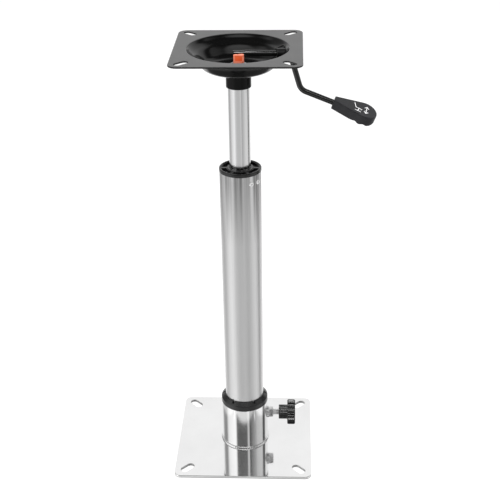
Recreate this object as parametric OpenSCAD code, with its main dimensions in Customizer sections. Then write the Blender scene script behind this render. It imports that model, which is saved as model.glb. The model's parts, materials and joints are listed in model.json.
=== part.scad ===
// Gas-lift boat seat pedestal that plugs into a square floor base.
// Millimetres. The origin is the middle of the floor plate's underside, +Z is up,
// and the release lever and the clamp screw both point along +X.

/* [Floor base] */
// Side of the square floor plate
base_side = 213; // [200:1:230]
// Thickness of the floor plate
base_thick = 4; // [3:0.5:6]
// Corner radius of the floor plate
base_corner = 10; // [6:1:16]
// Distance between slot centres along each side of the floor plate
base_slot_pitch = 174; // [166:1:178]
// Overall length of each floor plate slot
base_slot_len = 24; // [20:1:30]
// Width of each floor plate slot
base_slot_w = 12; // [8:0.5:13]
// Outside diameter of the socket tube
socket_d = 73; // [71:0.5:76]
// Height of the socket tube's top edge above the floor
socket_top = 76; // [70:1:84]

/* [Column] */
// Outside diameter of the column tube
column_d = 60.3; // [58:0.1:61]
// Wall thickness of the column tube
column_wall = 2.5; // [2:0.1:3]
// Height of the column tube's top edge above the floor
column_top = 473; // [460:1:490]

/* [Inner post and gas spring] */
// Outside diameter of the inner post
post_d = 31; // [30:0.1:32]
// Height of the inner post's lower end when it is fully raised
post_bottom = 286; // [280:1:300]
// Travel of the gas spring
lift_travel = 114; // [90:1:114]

/* [Seat plate] */
// Side of the square seat plate
seat_side = 177.8; // [165:0.1:185]
// Height of the seat plate's top face above the floor
seat_top = 653.4; // [650:0.1:660]
// Thickness of the stamped seat plate
seat_thick = 2.4; // [2.2:0.1:3]
// Corner radius of the seat plate
seat_corner = 13; // [8:1:20]
// Diameter of the dish at the top face of the seat plate
dish_d = 137; // [130:1:140]
// Distance between slot centres along each side of the seat plate
seat_slot_pitch = 143; // [138:1:146]
// Overall length of each seat plate slot
seat_slot_len = 22; // [16:1:24]
// Width of each seat plate slot
seat_slot_w = 10; // [7:0.5:10]

/* [Release lever] */
// Diameter of the lever rod
lever_d = 8; // [7:0.1:8]
// Length of the hand paddle
paddle_len = 63; // [56:1:66]
// Thickness of the hand paddle
paddle_thick = 15; // [13:0.5:16]

/* [Clamp screw] */
// Diameter of the clamp knob's head
knob_d = 40; // [34:1:42]
// Number of lobes round the clamp knob's head
knob_lobes = 14; // [10:1:16]

/* [Hidden] */
$fn = 96;

fit = 0.05;          // radial clearance of every running fit
gap = 0.3;           // clearance between pieces on different bodies
eps = 0.5;           // how far a cutter runs past the face that it opens
hole_gap = 0.5;      // radial clearance of a hole that a screw or a rod passes through

// Floor base
socket_r = socket_d / 2;
socket_bore = 33.5;
foot_r = socket_r + 2.25;
foot_h = 3;
foot_hollow = 1.4;
column_r = column_d / 2;
column_bore = column_r - column_wall;
column_foot = base_thick + gap;
sleeve_bottom = 16;
bush_rim_r = socket_r + 0.15;
bush_rim_h = 8.2;
bush_lip_r = column_r + 1.6;
bush_lip_h = 13.6;
bush_notches = 6;
bush_notch_w = 4.5;
bush_notch_depth = 4.2;

// Clamp screw, along +X
clamp_z = 51;
screw_r = 4.76;
pad_r = 4;
pad_x = column_r + 0.15;
pad_end = pad_x + 3;
pad_stem_r = 2;
pad_stem_len = 6;
boss_r = 9;
boss_x = socket_r + 3;
nut_flats = 14.3;
nut_h = 6;
hub_r = 11.35;
hub_x = 54.7;
head_x = 68.4;
head_end = 81;
screw_end = head_end - 4;
lobe_r = 2.9;

// Column and what it holds
plug_h = 12;
spacer_r = 25;
spacer_wall = 2.5;
disc_bottom = 150;
disc_h = 6;
washer_h = 1.5;
washer_r = 13;
ball_r = 1.5;
ball_count = 10;
ball_ring_r = 9;
race_z = disc_bottom + disc_h + washer_h;
rod_shoulder = race_z + 2 * ball_r + washer_h;
rod_r = 5;
stud_r = 4;
bumper_h = 9;
cap_h = 5;
cap_r = column_r + 0.5;
sleeve_len = 40;
pocket_in = 19.5;
pocket_out = 27;
pocket_depth = 24;
pocket_count = 6;
pocket_rib = 4;
guide_z = 340;
guide_h = 25;
rivet_z = 461;
rivet_r = 3.5;
rivet_shank_r = 2.2;
rivet_angles = [34, 58, 214, 238];

// Inner post and gas spring
post_r = post_d / 2;
post_bore = 14;
post_top = 628;
cylinder_bore = 12.5;
cylinder_top = 630;
seal_h = 3;
guide_plug_h = 8;
piston_h = 12;
piston_z = post_bottom + guide_plug_h + seal_h + gap;
valve_h = 30;
valve_neck_r = 7;
valve_neck_h = 4;
pin_r = 4;
pin_len = 30;

// Seat plate, hub and clip
seat_under = seat_top - seat_thick;
dish_r = dish_d / 2;
hub_bottom = 598;
hub_r_out = 17.75;
hub_round = 3;
dish_floor = 620.5;
hub_top = dish_floor + seat_thick + 1;
neck_r = 19.25;
neck_z = 615.5;
clip_x = 16;
clip_front = -8;
clip_back = 9;
clip_z = cylinder_top + 0.6;
clip_top = 645.5;

// Release lever: the rod crosses the axis over the valve pin and leaves through the dish wall
lever_r = lever_d / 2;
lever_axis_z = 646;
wall_point = [58.5, 11, 642];
over_pin = [0, 0, lever_axis_z];
rod_tail = 7;
rod_dir = unit(wall_point - over_pin);
rod_tip = over_pin - rod_tail * rod_dir;
bend_out = over_pin + 72.5 * rod_dir;
bend_out_r = 9;
bend_low = [86.2, 8, 590.8];
paddle_start = [131.5, 2.8, 574];
paddle_slope = 20.3;
paddle_heading = -6.6;
paddle_roll = 12;
paddle_socket = 26;
paddle_w0 = 13;
paddle_end_r = 18;
scallop_r = 8;
scallop_depth = 1.8;
scallops = [36, 48.5];
bend_low_r = 15;
pivot_at = norm(wall_point - over_pin);
grommet_r = 7;
grommet_len = 13;
pivot_r = 1.5;
pivot_len = 13;
port_start = 44;
port_len = 32;
port_shift = 12;
grommet_bore = lever_r + hole_gap;
pin_top = lever_axis_z - lever_r - gap;

function unit(v) = v / norm(v);
paddle_dir = [cos(paddle_slope) * cos(paddle_heading),
              cos(paddle_slope) * sin(paddle_heading),
              -sin(paddle_slope)];

// Points of a round bend of radius r at corner q, between the lines q-p and q-s.
function bend(p, q, s, r, steps = 10) =
    let (a = unit(p - q), b = unit(s - q))
    let (half = acos(a * b) / 2, reach = r / tan(half))
    let (mid = q + unit(a + b) * r / sin(half))
    let (from = unit(q + a * reach - mid), to = unit(q + b * reach - mid))
    let (turn = acos(from * to))
    [for (i = [0 : steps])
        mid + r * (sin(turn * (1 - i / steps)) * from + sin(turn * i / steps) * to) / sin(turn)];

lever_path = concat([rod_tip, over_pin],
                    bend(over_pin, bend_out, bend_low, bend_out_r),
                    bend(bend_out, bend_low, paddle_start, bend_low_r),
                    [paddle_start, paddle_start + paddle_socket * paddle_dir]);

// One solid tube of radius r swept along points. Each ring stands square to the path.
module sweep(points, r, sides = 24) {
    n = len(points);
    along = [for (i = [0 : n - 1])
        unit(points[min(i + 1, n - 1)] - points[max(i - 1, 0)])];
    rings = [for (i = [0 : n - 1])
        let (side = unit(cross([0, 1, 0], along[i])), up = cross(along[i], side))
        for (k = [0 : sides - 1])
            points[i] + r * (cos(360 * k / sides) * side + sin(360 * k / sides) * up)];
    walls = [for (i = [0 : n - 2], k = [0 : sides - 1])
        let (a = i * sides + k, b = i * sides + (k + 1) % sides)
        [a, a + sides, b + sides, b]];
    ends = [[for (k = [0 : sides - 1]) k],
            [for (k = [sides - 1 : -1 : 0]) (n - 1) * sides + k]];
    polyhedron(rings, concat(walls, ends), convexity = 6);
}

// Ring between two radii, standing on z.
module ring(outer, inner, z, h) {
    difference() {
        translate([0, 0, z]) cylinder(r = outer, h = h);
        translate([0, 0, z - eps]) cylinder(r = inner, h = h + 2 * eps);
    }
}

// Cylinder along +X between two stations, on the clamp screw's axis.
module along_x(r, x0, x1) {
    translate([x0, 0, clamp_z]) rotate([0, 90, 0]) cylinder(r = r, h = x1 - x0);
}

module rounded_square(side, corner) {
    inner = side / 2 - corner;
    square([side, 2 * inner], center = true);
    square([2 * inner, side], center = true);
    for (x = [-inner, inner], y = [-inner, inner]) translate([x, y]) circle(r = corner);
}

// Four slots that run diagonally, one at each corner of a square pattern.
module corner_slots(pitch, length, width) {
    straight = length - width;
    for (a = [45 : 90 : 315]) rotate(a) translate([pitch / sqrt(2), 0]) {
        square([straight, width], center = true);
        for (x = [-straight / 2, straight / 2]) translate([x, 0]) circle(d = width);
    }
}

module base_plate() {
    color("gainsboro") linear_extrude(base_thick) difference() {
        rounded_square(base_side, base_corner);
        corner_slots(base_slot_pitch, base_slot_len, base_slot_w);
    }
}

module base_socket() {
    color("silver") difference() {
        ring(socket_r, socket_bore, base_thick, socket_top - base_thick);
        along_x(screw_r + hole_gap, socket_bore - 2, socket_r + 2);
    }
}

module foot_ring() {
    color("whitesmoke") rotate_extrude() translate([socket_r, base_thick]) difference() {
        square([foot_r - socket_r, foot_h]);
        translate([foot_r - socket_r, foot_h]) circle(r = foot_hollow);
    }
}

module socket_bushing() {
    color("#161616") difference() {
        rotate_extrude() polygon([
            [column_r + fit, sleeve_bottom], [socket_bore, sleeve_bottom],
            [socket_bore, socket_top], [bush_rim_r, socket_top],
            [bush_rim_r, socket_top + bush_rim_h - 1], [bush_rim_r - 1, socket_top + bush_rim_h],
            [bush_lip_r, socket_top + bush_lip_h], [column_r + fit, socket_top + bush_lip_h]]);
        along_x(screw_r + hole_gap, column_r - 2, socket_bore + 2);
        for (i = [0 : bush_notches - 1]) rotate(360 * i / bush_notches)
            translate([column_r - 1, -bush_notch_w / 2, socket_top + bush_lip_h - bush_notch_depth])
                cube([3.2, bush_notch_w, bush_notch_depth + eps]);
    }
}

module clamp_boss() {
    color("silver") difference() {
        along_x(boss_r, socket_bore, boss_x);
        cylinder(r = socket_r, h = socket_top);
        along_x(screw_r + hole_gap, socket_bore - 1, boss_x + 1);
    }
}

// Hexagon nut, welded to the boss, that carries the clamp screw's thread.
module clamp_nut() {
    corner_r = nut_flats / 2 / cos(30);
    color("lightgray") difference() {
        intersection() {
            translate([boss_x, 0, clamp_z]) rotate([0, 90, 0]) rotate(30)
                cylinder(r = corner_r, h = nut_h, $fn = 6);
            translate([boss_x - 2, 0, clamp_z]) rotate([0, 90, 0])
                cylinder(r1 = corner_r + 3.2, r2 = corner_r - 0.8, h = nut_h + 2);
        }
        along_x(screw_r + fit, boss_x - 1, boss_x + nut_h + 1);
    }
}

module pressure_pad() {
    color("goldenrod") {
        along_x(pad_r, pad_x, pad_end);
        along_x(pad_stem_r, pad_end - eps, pad_end + pad_stem_len);
    }
}

module clamp_screw() {
    color("lightgray") difference() {
        along_x(screw_r, pad_end + fit, screw_end);
        along_x(pad_stem_r + fit, pad_end - eps, pad_end + pad_stem_len + fit);
    }
}

module clamp_knob() {
    color("#1c1c1c") difference() {
        union() {
            along_x(hub_r, hub_x, head_x + eps);
            translate([head_x, 0, clamp_z]) rotate([0, 90, 0]) linear_extrude(head_end - head_x) {
                circle(r = knob_d / 2 - 1.6);
                for (i = [0 : knob_lobes - 1]) rotate(360 * i / knob_lobes)
                    translate([knob_d / 2 - lobe_r, 0]) circle(r = lobe_r);
            }
        }
        along_x(screw_r, hub_x - eps, screw_end);
    }
}

// Rivet holes through the column wall and into the top bushing.
module rivet_holes() {
    for (a = rivet_angles) rotate(a - 90) translate([column_bore - 4, 0, rivet_z])
        rotate([0, 90, 0]) cylinder(r = rivet_shank_r, h = 10);
}

module column_tube() {
    color("silver") difference() {
        ring(column_r, column_bore, column_foot, column_top - column_foot);
        rivet_holes();
    }
}

module top_bushing() {
    color("#181818") difference() {
        union() {
            ring(column_bore, post_r + fit, column_top - sleeve_len, sleeve_len + eps);
            ring(cap_r, post_r + fit, column_top, cap_h);
        }
        difference() {
            ring(pocket_out, pocket_in, column_top + cap_h - pocket_depth, pocket_depth + eps);
            for (i = [0 : pocket_count / 2 - 1]) rotate(360 * i / pocket_count)
                translate([-column_r, -pocket_rib / 2, column_top - pocket_depth])
                    cube([column_d, pocket_rib, pocket_depth + cap_h + 2 * eps]);
        }
        difference() {
            rivet_holes();
            cylinder(r = column_bore - 3, h = column_top);
        }
    }
}

module bushing_rivets() {
    color("whitesmoke") for (a = rivet_angles) rotate(a - 90)
        translate([0, 0, rivet_z]) rotate([0, 90, 0]) {
            translate([0, 0, column_bore - 2.5]) cylinder(r = rivet_shank_r, h = column_wall + 3);
            translate([0, 0, column_r + 0.05]) cylinder(r1 = rivet_r, r2 = rivet_r - 1.2, h = 1.3);
        }
}

module lower_guide() {
    color("#202020") difference() {
        ring(column_bore, post_r + fit, guide_z, guide_h);
        for (i = [0 : 5]) rotate(60 * i) translate([21.5, 0, guide_z - eps])
            cylinder(r = 3, h = guide_h + 2 * eps);
    }
}

module bottom_plug() {
    color("#262626") ring(column_bore, 8, column_foot, plug_h);
}

module spacer_tube() {
    foot = column_foot + plug_h;
    color("gray") ring(spacer_r, spacer_r - spacer_wall, foot, disc_bottom - foot);
}

module anchor_disc() {
    color("dimgray") ring(column_bore, stud_r + fit, disc_bottom, disc_h);
}

module bearing_washer() {
    color("lightgray") ring(washer_r, stud_r + 0.4, disc_bottom + disc_h, washer_h);
}

module bearing_balls() {
    color("white") for (i = [0 : ball_count - 1]) rotate(360 * i / ball_count)
        translate([ball_ring_r, 0, race_z + ball_r]) sphere(r = ball_r - 0.02, $fn = 32);
}

module bearing_cage() {
    color("peru") difference() {
        ring(ball_ring_r + 2.8, ball_ring_r - 2.8, race_z + 0.7, 2 * ball_r - 1.4);
        for (i = [0 : ball_count - 1]) rotate(360 * i / ball_count)
            translate([ball_ring_r, 0, race_z]) cylinder(r = ball_r + 0.05, h = 2 * ball_r);
    }
}

module rod_washer() {
    color("lightgray") ring(washer_r, stud_r, race_z + 2 * ball_r, washer_h);
}

module piston_rod() {
    groove_z = disc_bottom - gap - washer_h;
    color("lightsteelblue") difference() {
        union() {
            translate([0, 0, groove_z - 2.5]) cylinder(r = stud_r, h = rod_shoulder - groove_z + 2.5);
            translate([0, 0, rod_shoulder]) cylinder(r = rod_r, h = piston_z - rod_shoulder);
            translate([0, 0, piston_z - eps]) cylinder(r = stud_r, h = piston_h + 2.5);
        }
        ring(stud_r + 1, stud_r - 0.8, groove_z, washer_h);
    }
}

// Retaining ring in the groove at the rod's lower end, open on one side.
module rod_clip() {
    groove_z = disc_bottom - gap - washer_h;
    color("dimgray") difference() {
        ring(stud_r + 4, stud_r - 0.8, groove_z, washer_h);
        translate([0, -2, groove_z - eps]) cube([stud_r + 6, 4, washer_h + 2 * eps]);
    }
}

module gas_piston() {
    color("darkgray") ring(cylinder_bore - fit, stud_r, piston_z, piston_h);
}

module rubber_bumper() {
    color("#1a1a1a") ring(11, rod_r, rod_shoulder, bumper_h);
}

module inner_post() {
    color("lightgray") ring(post_r, post_bore, post_bottom, post_top - post_bottom);
}

module gas_cylinder() {
    color("#303030") ring(post_bore, cylinder_bore, post_bottom, cylinder_top - post_bottom);
}

module rod_guide() {
    color("darkgray") ring(cylinder_bore, rod_r + fit, post_bottom, guide_plug_h);
}

module rod_seal() {
    color("#111111") ring(cylinder_bore, rod_r + fit, post_bottom + guide_plug_h, seal_h);
}

module valve_body() {
    color("gray") {
        ring(cylinder_bore, pin_r + fit, cylinder_top - valve_h, valve_h);
        ring(valve_neck_r, pin_r + fit, cylinder_top - eps, valve_neck_h + eps);
    }
}

module valve_pin() {
    color("white") translate([0, 0, pin_top - pin_len]) cylinder(r = pin_r, h = pin_len);
}

// Direction of the rod where it crosses the dish wall, as rotations from +Z.
module on_rod(start) {
    translate(over_pin + start * rod_dir)
        rotate([0, acos(rod_dir.z), atan2(rod_dir.y, rod_dir.x)]) children();
}

// Oval port through the dish wall, wider than the rod so that the lever can be fitted.
module lever_port() {
    on_rod(port_start) for (y = [0, port_shift]) translate([0, y, 0])
        cylinder(r = grommet_r, h = port_len);
    on_rod(port_start) translate([-grommet_r, 0, 0]) cube([2 * grommet_r, port_shift, port_len]);
}

module seat_plate() {
    color("#222222") difference() {
        union() {
            translate([0, 0, seat_under]) linear_extrude(seat_thick) difference() {
                rounded_square(seat_side, seat_corner);
                circle(r = dish_r + 1);
                corner_slots(seat_slot_pitch, seat_slot_len, seat_slot_w);
            }
            rotate_extrude() polygon([
                [hub_r_out, dish_floor], [22, dish_floor + 0.6], [40, dish_floor + 8.8],
                [60, dish_floor + 19.2], [68.2, dish_floor + 25.4], [dish_r + 3.4, seat_under],
                [dish_r + 3.4, seat_top], [dish_r + 0.6, seat_top], [dish_r - 1, seat_top - 1],
                [65.8, dish_floor + 27.2], [58.7, dish_floor + 21.9], [38.7, dish_floor + 11.5],
                [21, dish_floor + 3.7], [hub_r_out, dish_floor + seat_thick]]);
        }
        lever_port();
    }
}

module hub_collar() {
    color("#121212") rotate_extrude() {
        translate([hub_r_out - hub_round, hub_bottom + hub_round]) intersection() {
            circle(r = hub_round);
            translate([post_r - hub_r_out + hub_round, -hub_round]) square([2 * hub_round, hub_round]);
        }
        translate([post_r, hub_bottom + hub_round])
            square([hub_r_out - post_r, hub_top - hub_bottom - hub_round]);
    }
}

module neck_ring() {
    color("#141414") rotate_extrude() polygon([
        [hub_r_out, neck_z], [neck_r - 0.5, neck_z + 1.2], [neck_r, neck_z + 2.4],
        [neck_r, dish_floor], [hub_r_out, dish_floor]]);
}

// Clip on the gas spring's neck that keeps the rod's tip over the valve pin.
module release_clip() {
    slot_w = lever_d + 1.6;
    slot_floor = lever_axis_z - lever_r - 5.2;
    color("orangered") difference() {
        translate([-clip_x / 2, clip_front, clip_z])
            cube([clip_x, clip_back - clip_front, clip_top - clip_z]);
        translate([0, 0, clip_z - eps]) cylinder(r = valve_neck_r, h = 4.4);
        translate([0, 0, clip_z]) cylinder(r = pin_r + gap, h = clip_top);
        rotate(atan2(rod_dir.y, rod_dir.x)) translate([-clip_x, -slot_w / 2, slot_floor])
            cube([2 * clip_x, slot_w, clip_top]);
        translate([clip_x / 2 - 2.4, clip_front - eps, clip_z - eps])
            cube([1.4, 2.5, 5]);
    }
}

module lever_grommet() {
    color("#0e0e0e") difference() {
        on_rod(pivot_at - grommet_len / 2) difference() {
            cylinder(r = grommet_r, h = grommet_len);
            translate([0, 0, -eps]) cylinder(r = grommet_bore, h = grommet_len + 2 * eps);
        }
        pivot_cylinder(pivot_r, 3 * grommet_r);
    }
}

// Cylinder across the rod on the lever's hinge axis.
module pivot_cylinder(r, length) {
    on_rod(pivot_at) rotate([90, 0, 0]) cylinder(r = r, h = length, center = true);
}

module lever_pivot() {
    color("lightsteelblue") pivot_cylinder(pivot_r, pivot_len);
}

module lever_rod() {
    color("#101010") difference() {
        sweep(lever_path, lever_r);
        pivot_cylinder(pivot_r + fit, 3 * lever_r);
    }
}

module lever_paddle() {
    tip = paddle_len - paddle_end_r;
    color("#2b2b2b") translate(paddle_start) rotate([paddle_roll, paddle_slope, paddle_heading])
        difference() {
            translate([0, 0, -paddle_thick / 2]) union() {
                linear_extrude(paddle_thick) polygon([
                    [0, -paddle_w0 / 2], [0, paddle_w0 / 2],
                    [tip + 2, paddle_end_r - 0.4], [tip + 2, -paddle_end_r + 0.4]]);
                translate([tip, 0, 0]) cylinder(r = paddle_end_r, h = paddle_thick);
            }
            for (x = scallops) translate([x, 0, -paddle_thick / 2 - scallop_r + scallop_depth])
                rotate([90, 0, 0]) cylinder(r = scallop_r, h = 3 * paddle_end_r, center = true);
            translate([-eps, 0, 0]) rotate([0, 90, 0])
                cylinder(r = lever_r, h = paddle_socket + eps);
        }
}

base_plate();
base_socket();
foot_ring();
socket_bushing();
clamp_boss();
clamp_nut();
pressure_pad();
clamp_screw();
clamp_knob();
column_tube();
top_bushing();
bushing_rivets();
lower_guide();
bottom_plug();
spacer_tube();
anchor_disc();
bearing_washer();
bearing_balls();
bearing_cage();
rod_washer();
piston_rod();
rod_clip();
gas_piston();
rubber_bumper();
inner_post();
gas_cylinder();
rod_guide();
rod_seal();
valve_body();
valve_pin();
seat_plate();
hub_collar();
neck_ring();
release_clip();
lever_grommet();
lever_pivot();
lever_rod();
lever_paddle();
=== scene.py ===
import json
from math import asin, atan2, cos, hypot, pi, radians, sin, sqrt, tan

import bmesh
import bpy
from mathutils import Matrix, Vector
from mathutils.geometry import delaunay_2d_cdt


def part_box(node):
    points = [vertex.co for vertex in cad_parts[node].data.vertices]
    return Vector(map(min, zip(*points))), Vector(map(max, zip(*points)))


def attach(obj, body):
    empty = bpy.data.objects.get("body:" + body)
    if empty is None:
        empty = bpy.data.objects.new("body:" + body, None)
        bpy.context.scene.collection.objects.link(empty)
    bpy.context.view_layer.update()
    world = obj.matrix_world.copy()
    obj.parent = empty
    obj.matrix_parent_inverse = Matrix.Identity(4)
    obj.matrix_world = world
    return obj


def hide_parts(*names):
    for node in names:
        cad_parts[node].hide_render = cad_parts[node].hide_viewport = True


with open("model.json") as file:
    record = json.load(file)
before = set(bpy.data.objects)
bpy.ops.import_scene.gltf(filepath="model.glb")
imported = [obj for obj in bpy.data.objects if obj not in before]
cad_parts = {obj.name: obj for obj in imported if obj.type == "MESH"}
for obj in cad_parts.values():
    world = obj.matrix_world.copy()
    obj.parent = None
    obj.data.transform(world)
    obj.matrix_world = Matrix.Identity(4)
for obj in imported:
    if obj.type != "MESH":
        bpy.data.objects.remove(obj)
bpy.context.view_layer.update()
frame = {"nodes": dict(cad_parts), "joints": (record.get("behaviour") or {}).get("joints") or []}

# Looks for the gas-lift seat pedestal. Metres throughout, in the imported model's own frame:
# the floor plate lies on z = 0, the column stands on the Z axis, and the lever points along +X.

MM = 0.001
SIDES = 160                      # facets round a turned piece
FLAT_EDGE = 0.2 * MM             # flat strip beside a rounded edge, which keeps its shading flat
JOINTS = {j["name"]: j for j in frame["joints"]}


# --- shapes

def link(name, mesh, look, body, nodes=(), sharp=35):
    """Puts a finished mesh in the scene, on its body and in place of its CAD nodes."""
    mesh.validate()
    mesh.shade_smooth()
    mesh.set_sharp_from_angle(angle=radians(sharp))
    mesh.materials.append(MAT[look])
    piece = bpy.data.objects.new(name, mesh)
    bpy.context.scene.collection.objects.link(piece)
    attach(piece, body)
    if nodes:
        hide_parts(*nodes)
    return piece


def mesh_from(name, points, faces):
    mesh = bpy.data.meshes.new(name)
    mesh.from_pydata([tuple(p) for p in points], [], faces)
    mesh.update()
    return mesh


def unloaded(name, bm):
    mesh = bpy.data.meshes.new(name)
    bm.to_mesh(mesh)
    bm.free()
    return mesh


def from_bmesh(name, bm):
    """A mesh with its seams merged and its faces turned outwards."""
    bmesh.ops.remove_doubles(bm, verts=bm.verts, dist=1e-7)
    bmesh.ops.recalc_face_normals(bm, faces=bm.faces)
    return unloaded(name, bm)


def closed_mesh(name, points, faces):
    bm = bmesh.new()
    verts = [bm.verts.new(p) for p in points]
    for face in faces:
        bm.faces.new([verts[i] for i in face])
    return from_bmesh(name, bm)


def prism(name, low, high):
    """A closed solid between two matching loops of points."""
    bm = bmesh.new()
    low, high = ([bm.verts.new(p) for p in loop] for loop in (low, high))
    bm.faces.new(low)
    bm.faces.new(list(reversed(high)))
    n = len(low)
    for k in range(n):
        bm.faces.new((low[k], low[(k + 1) % n], high[(k + 1) % n], high[k]))
    return from_bmesh(name, bm)


def polar(r, angle):
    return Vector((r * cos(angle), r * sin(angle)))


def arc(middle, start, end, steps):
    """Points round an arc about middle. start and end are its ends, seen from middle."""
    turn = start.angle(end)
    return [middle + (start * sin(turn * (1 - k / steps)) + end * sin(turn * k / steps))
            / sin(turn) for k in range(steps + 1)]


def filleted(corners, steps=5):
    """A closed outline from (x, y, radius in mm) corners. Each corner is rounded, and a point
    close to each end of the round keeps the flats beside it flat in shading."""
    out = []
    n = len(corners)
    for i, (x, y, r) in enumerate(corners):
        here = Vector((x, y))
        before = Vector(corners[i - 1][:2]) - here
        after = Vector(corners[(i + 1) % n][:2]) - here
        half = before.angle(after) / 2
        if r <= 0 or abs(half - pi / 2) < 1e-3:
            out.append(here)
            continue
        a, b = before.normalized(), after.normalized()
        reach = min(r * MM / tan(half), before.length * 0.48, after.length * 0.48)
        r = reach * tan(half)
        middle = here + (a + b).normalized() * r / sin(half)
        start, end = here + a * reach - middle, here + b * reach - middle
        lead = min(0.15 * MM, reach * 0.5)
        out += [here + a * (reach + lead), *arc(middle, start, end, steps),
                here + b * (reach + lead)]
    return out


def lathe_mesh(name, outline, sides=SIDES, wobble=None, ring=True):
    """Turns a (radius, z) outline round Z. A ring has a closed outline. Otherwise the outline is
    open, and a disc closes each end. wobble(angle, r, z) may move a point."""
    points, faces = [], []
    n = len(outline)
    for k in range(sides):
        angle = 2 * pi * k / sides
        for r, z in outline:
            if wobble:
                r, z = wobble(angle, r, z)
            points.append((*polar(r, angle), z))
    for k in range(sides):
        a, b = k * n, (k + 1) % sides * n
        for i in range(n if ring else n - 1):
            j = (i + 1) % n
            faces.append((a + i, b + i, b + j, a + j))
    if not ring:
        faces.append(tuple(k * n for k in range(sides)))
        faces.append(tuple(k * n + n - 1 for k in reversed(range(sides))))
    return closed_mesh(name, points, faces)


def turned(name, outline, look, body, nodes=(), sides=SIDES, wobble=None):
    return link(name, lathe_mesh(name, outline, sides, wobble), look, body, nodes)


def cut(mesh, *cutters):
    """Takes each cutter mesh out of mesh with an exact boolean, and returns the new mesh."""
    holder = bpy.data.objects.new("cut_holder", mesh)
    bpy.context.scene.collection.objects.link(holder)
    tools = []
    for i, cutter in enumerate(cutters):
        tool = bpy.data.objects.new(f"cut_tool_{i}", cutter)
        bpy.context.scene.collection.objects.link(tool)
        tools.append(tool)
        modifier = holder.modifiers.new("cut", "BOOLEAN")
        modifier.operation, modifier.solver, modifier.object = "DIFFERENCE", "EXACT", tool
    bpy.context.view_layer.update()
    result = bpy.data.meshes.new_from_object(
        holder.evaluated_get(bpy.context.evaluated_depsgraph_get()))
    for tool in tools:
        bpy.data.objects.remove(tool)
    bpy.data.objects.remove(holder)
    result.materials.clear()
    return result


def join_meshes(name, meshes):
    bm = bmesh.new()
    for mesh in meshes:
        bm.from_mesh(mesh)
        bpy.data.meshes.remove(mesh)
    return unloaded(name, bm)


def box_mesh(name, lo, hi, bevel=0.0, segments=3):
    bm = bmesh.new()
    bmesh.ops.create_cube(bm, size=1)
    lo, hi = Vector(lo), Vector(hi)
    for v in bm.verts:
        v.co = Vector(((v.co[i] + 0.5) * (hi[i] - lo[i]) + lo[i]) for i in range(3))
    if bevel:
        bmesh.ops.bevel(bm, geom=bm.edges[:], offset=bevel, segments=segments,
                        affect="EDGES", profile=0.5, clamp_overlap=True)
    return from_bmesh(name, bm)


def along(start, direction):
    """A matrix that stands +Z on start, pointing along direction."""
    turn = Vector(direction).to_track_quat("Z", "Y").to_matrix().to_4x4()
    return Matrix.Translation(start) @ turn


def rounded_square(half, corner):
    """Points round a square with round corners, anticlockwise."""
    inner, steps = half - corner, 12
    out = []
    for q, (sx, sy) in enumerate(((1, 1), (-1, 1), (-1, -1), (1, -1))):
        for k in range(steps + 1):
            a = pi / 2 * (q + k / steps)
            out.append(Vector((sx * inner, sy * inner)) + polar(corner, a))
    return out


def slot_outline(distance, angle, length, width):
    """Points round a slot that runs along the line at angle from the centre, clockwise."""
    out, steps = [], 12
    straight = (length - width) / 2
    turn = Matrix.Rotation(angle, 2)
    for end, sign in enumerate((1, -1)):
        for k in range(steps + 1):
            a = pi / 2 - pi * (end + k / steps)
            out.append(turn @ (Vector((distance + sign * straight, 0)) + polar(width / 2, a)))
    return out


def normals_of(loop):
    out = []
    for before, here, after in zip(loop[-1:] + loop[:-1], loop, loop[1:] + loop[:1]):
        t = (after - here).normalized() + (here - before).normalized()
        out.append(Vector((t.y, -t.x)).normalized())
    return out


def inside(point, loop):
    hit = False
    for a, b in zip(loop[-1:] + loop[:-1], loop):
        if (a.y > point.y) != (b.y > point.y):
            if point.x < a.x + (point.y - a.y) * (b.x - a.x) / (b.y - a.y):
                hit = not hit
    return hit


def flat_fill(bm, outer, holes, z, up, extra=()):
    """Fills the flat between an outer loop and its holes with triangles, at height z(x, y)."""
    points, edges = [], []
    for loop in [outer, *holes]:
        first = len(points)
        points += loop
        n = len(loop)
        edges += [(first + i, first + (i + 1) % n) for i in range(n)]
    points += extra
    coords, _, triangles, *_ = delaunay_2d_cdt(points, edges, [], 0, 1e-9)
    verts = [bm.verts.new((p.x, p.y, z(p.x, p.y))) for p in coords]
    for t in triangles:
        middle = sum((coords[i] for i in t), Vector((0, 0))) / 3
        if inside(middle, outer) and not any(inside(middle, h) for h in holes):
            bm.faces.new([verts[i] for i in (t if up else reversed(t))])


def rounded_edge(bm, loop, low, high, bevel, steps=4, walls=1):
    """The edge wall round one loop, from the top flat over a round, down and under.
    low and high give the two faces' heights at (x, y)."""
    normals = normals_of(loop)
    over = [(bevel + FLAT_EDGE, 1, 0.0)]
    for k in range(steps + 1):
        a = pi / 2 * k / steps
        over.append((bevel * (1 - sin(a)), 1, bevel * (1 - cos(a))))
    down = [(0.0, 1 - k / walls, bevel * (1 - 2 * k / walls)) for k in range(1, walls)]
    under = [(inset, 0, -drop) for inset, _, drop in reversed(over)]
    rings = []
    for inset, share, drop in over + down + under:
        ring = []
        for p, normal in zip(loop, normals):
            q = p - normal * inset
            top, bottom = high(q.x, q.y), low(q.x, q.y)
            ring.append(bm.verts.new((q.x, q.y, bottom + (top - bottom) * share - drop)))
        rings.append(ring)
    n = len(loop)
    for a, b in zip(rings, rings[1:]):
        for i in range(n):
            j = (i + 1) % n
            bm.faces.new((a[i], b[i], b[j], a[j]))


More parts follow.
